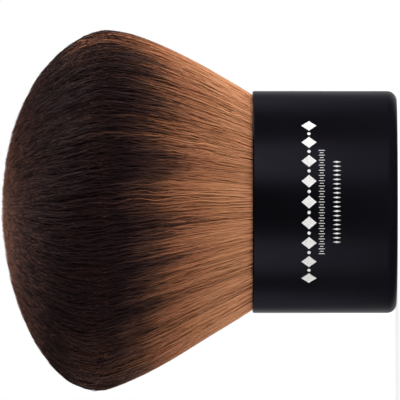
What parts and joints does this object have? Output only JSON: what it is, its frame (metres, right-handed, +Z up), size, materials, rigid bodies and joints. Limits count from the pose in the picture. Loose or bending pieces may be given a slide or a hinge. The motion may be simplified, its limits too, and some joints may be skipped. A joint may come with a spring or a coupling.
{
  "type": "makeup brush",
  "caption": "Short, wide powder brush: a domed head of two-tone fibres flares out of a low black cylindrical aluminium handle, which stands on its flat base.",
  "frame": {"origin": "centre of the flat base that the brush stands on", "axes": "+Z up along the brush, from the base through the handle to the top of the domed head. The head leans slightly to -X"},
  "size_m": [0.0617, 0.0619, 0.0659],
  "materials": {
    "black_anodised_aluminium": "satin black anodised",
    "black_abs": "moulded",
    "hot_melt_adhesive": "set bead",
    "bare_aluminium": "drawn",
    "cured_epoxy": "cast",
    "natural_rubber": "dull",
    "two_tone_fibre": "dark brown tips and copper brown roots, soft sheen"
  },
  "bodies": {
    "root": {"handle_shell": "black_anodised_aluminium", "core_plug": "black_abs", "bond_ring": "hot_melt_adhesive", "inner_ferrule": "bare_aluminium", "epoxy_plug": "cured_epoxy", "root_band": "natural_rubber", "bristle_knot": "two_tone_fibre"}
  },
  "joints": []
}
